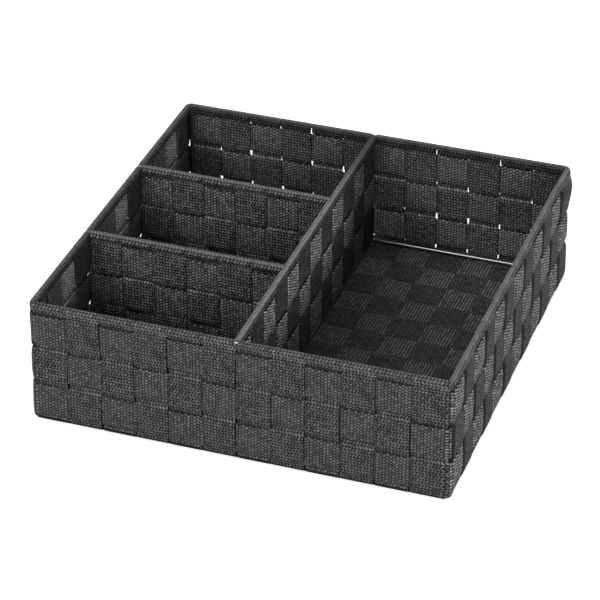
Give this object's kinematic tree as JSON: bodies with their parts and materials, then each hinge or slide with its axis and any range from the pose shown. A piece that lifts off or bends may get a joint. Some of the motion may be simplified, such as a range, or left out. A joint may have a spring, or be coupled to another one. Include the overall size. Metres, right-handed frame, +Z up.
{
  "type": "drawer organiser tray",
  "caption": "Low square storage tray woven from flat dark webbing on a welded wire frame, with one large and several small open compartments.",
  "frame": {"origin": "middle of the underside, on the plane that the tray rests on", "axes": "+Z up, +X to the right with the small compartments on the left, front wall faces -Y"},
  "size_m": [0.32, 0.32, 0.1],
  "materials": {
    "webbing": "anthracite woven polypropylene webbing, herringbone twill, slight sheen",
    "frame_wire": "bright drawn steel wire, welded",
    "post_coat": "dark coated steel wire"
  },
  "bodies": {
    "root": {"bottom_wire_back": "frame_wire", "bottom_wire_front": "frame_wire", "bottom_wire_left": "frame_wire", "bottom_wire_right": "frame_wire", "corner_post_back_left": "post_coat", "corner_post_back_right": "post_coat", "corner_post_front_left": "post_coat", "corner_post_front_right": "post_coat", "cross_divider_1_bottom_wire": "frame_wire", "cross_divider_1_strap_1": "webbing", "cross_divider_1_strap_2": "webbing", "cross_divider_1_strap_3": "webbing", "cross_divider_1_top_wire": "frame_wire", "cross_divider_1_uprights": "webbing", "cross_divider_2_bottom_wire": "frame_wire", "cross_divider_2_strap_1": "webbing", "cross_divider_2_strap_2": "webbing", "cross_divider_2_strap_3": "webbing", "cross_divider_2_top_wire": "frame_wire", "cross_divider_2_uprights": "webbing", "crosswise_strap_01": "webbing", "crosswise_strap_02": "webbing", "crosswise_strap_03": "webbing", "crosswise_strap_04": "webbing", "crosswise_strap_05": "webbing", "crosswise_strap_06": "webbing", "crosswise_strap_07": "webbing", "crosswise_strap_08": "webbing", "crosswise_strap_09": "webbing", "crosswise_strap_10": "webbing", "crosswise_strap_11": "webbing", "crosswise_strap_12": "webbing", "lengthwise_strap_01": "webbing", "lengthwise_strap_02": "webbing", "lengthwise_strap_03": "webbing", "lengthwise_strap_04": "webbing", "lengthwise_strap_05": "webbing", "lengthwise_strap_06": "webbing", "lengthwise_strap_07": "webbing", "lengthwise_strap_08": "webbing", "lengthwise_strap_09": "webbing", "lengthwise_strap_10": "webbing", "lengthwise_strap_11": "webbing", "lengthwise_strap_12": "webbing", "middle_divider_bottom_wire": "frame_wire", "middle_divider_strap_1": "webbing", "middle_divider_strap_2": "webbing", "middle_divider_strap_3": "webbing", "middle_divider_top_wire": "frame_wire", "middle_divider_uprights": "webbing", "rim_wire": "frame_wire", "ring_strap_1": "webbing", "ring_strap_2": "webbing", "ring_strap_3": "webbing"}
  },
  "joints": []
}
